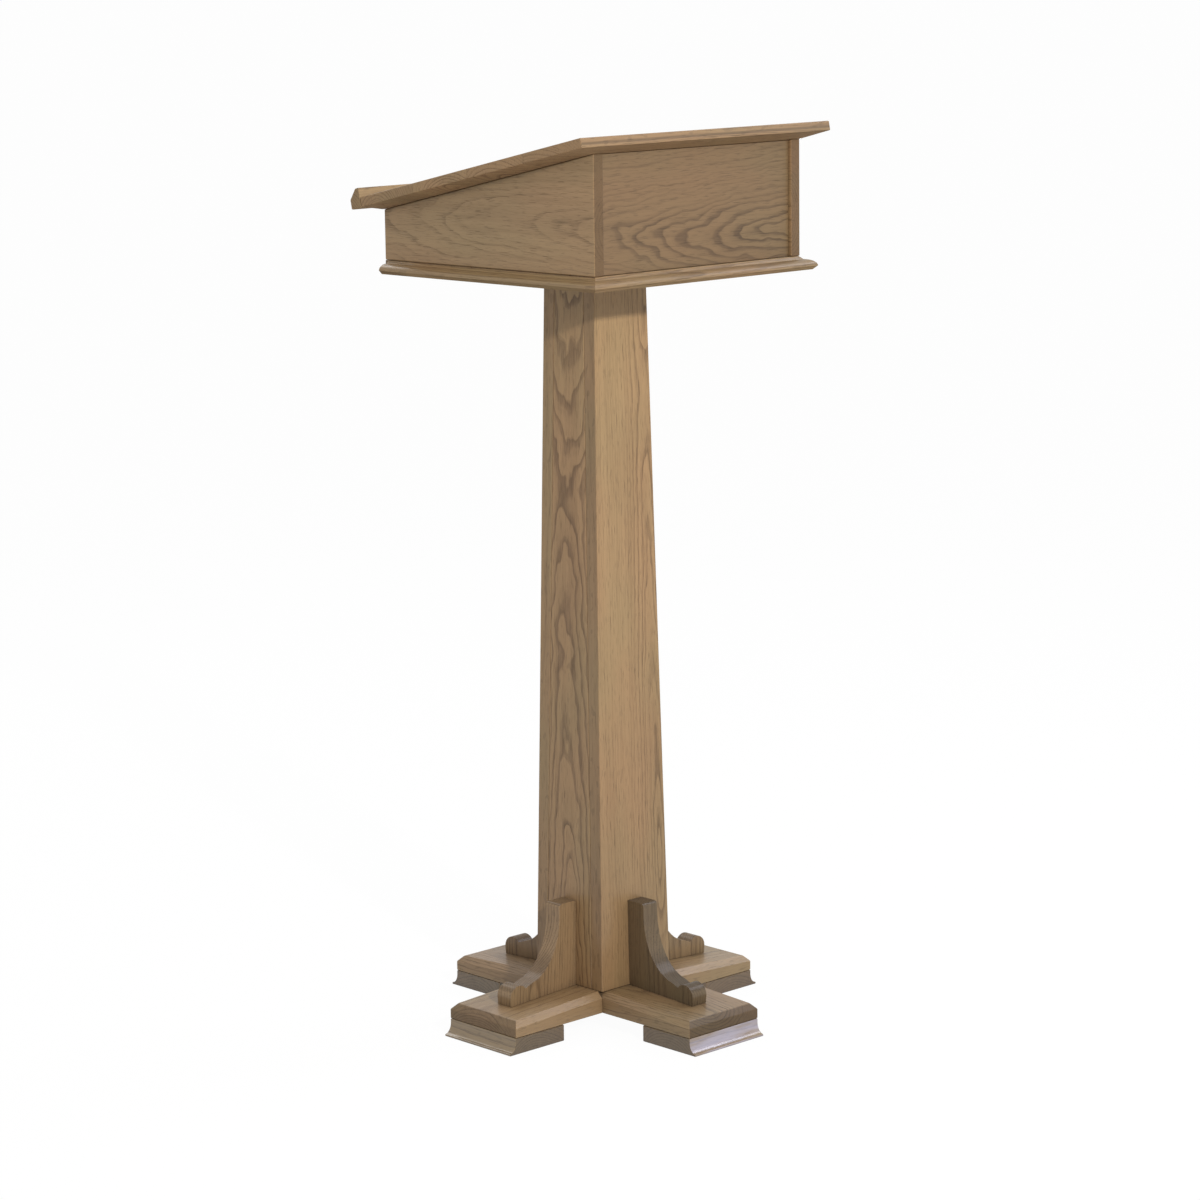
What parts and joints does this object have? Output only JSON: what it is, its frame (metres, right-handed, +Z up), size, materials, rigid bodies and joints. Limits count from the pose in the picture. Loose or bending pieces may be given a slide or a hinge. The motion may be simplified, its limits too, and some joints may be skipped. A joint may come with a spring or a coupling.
{
  "type": "lectern",
  "caption": "Free-standing oak lectern: sloping reading board with book stop over an open-backed shelf, on a tapered square post with a bracketed cross foot.",
  "frame": {"origin": "on the floor, under the axis of the post", "axes": "+Z up; the tall front of the desk faces -Y and the reader stands at +Y; +X across the desk"},
  "size_m": [0.465, 0.477, 1.199],
  "materials": {
    "oak": "waxed satin",
    "foot_oak": "waxed satin, darkened",
    "inner_wood": "bare, unfinished",
    "screw_steel": "dull"
  },
  "bodies": {
    "root": {"arm_side_to_side": "oak", "arm_front_to_back": "oak", "bracket_front": "oak", "bracket_back": "oak", "bracket_left": "oak", "bracket_right": "oak", "post_board_front": "oak", "post_board_back": "oak", "post_board_left": "oak", "post_board_right": "oak", "desk_floor": "oak", "desk_side_left": "oak", "desk_side_right": "oak", "desk_front": "oak", "slope_board": "oak", "book_stop": "oak", "moulding_front": "oak", "moulding_left": "oak", "moulding_right": "oak", "pad_front": "foot_oak", "pad_back": "foot_oak", "pad_left": "foot_oak", "pad_right": "foot_oak", "foot_block": "inner_wood", "head_block": "inner_wood", "glue_block_left_front": "inner_wood", "glue_block_left_back": "inner_wood", "glue_block_right_front": "inner_wood", "glue_block_right_back": "inner_wood", "desk_screw_1": "screw_steel", "desk_screw_2": "screw_steel", "desk_screw_3": "screw_steel", "desk_screw_4": "screw_steel", "base_screw_1": "screw_steel", "base_screw_2": "screw_steel", "base_screw_3": "screw_steel", "base_screw_4": "screw_steel", "pad_screw_front_1": "screw_steel", "pad_screw_front_2": "screw_steel", "pad_screw_back_1": "screw_steel", "pad_screw_back_2": "screw_steel", "pad_screw_left_1": "screw_steel", "pad_screw_left_2": "screw_steel", "pad_screw_right_1": "screw_steel", "pad_screw_right_2": "screw_steel"}
  },
  "joints": []
}
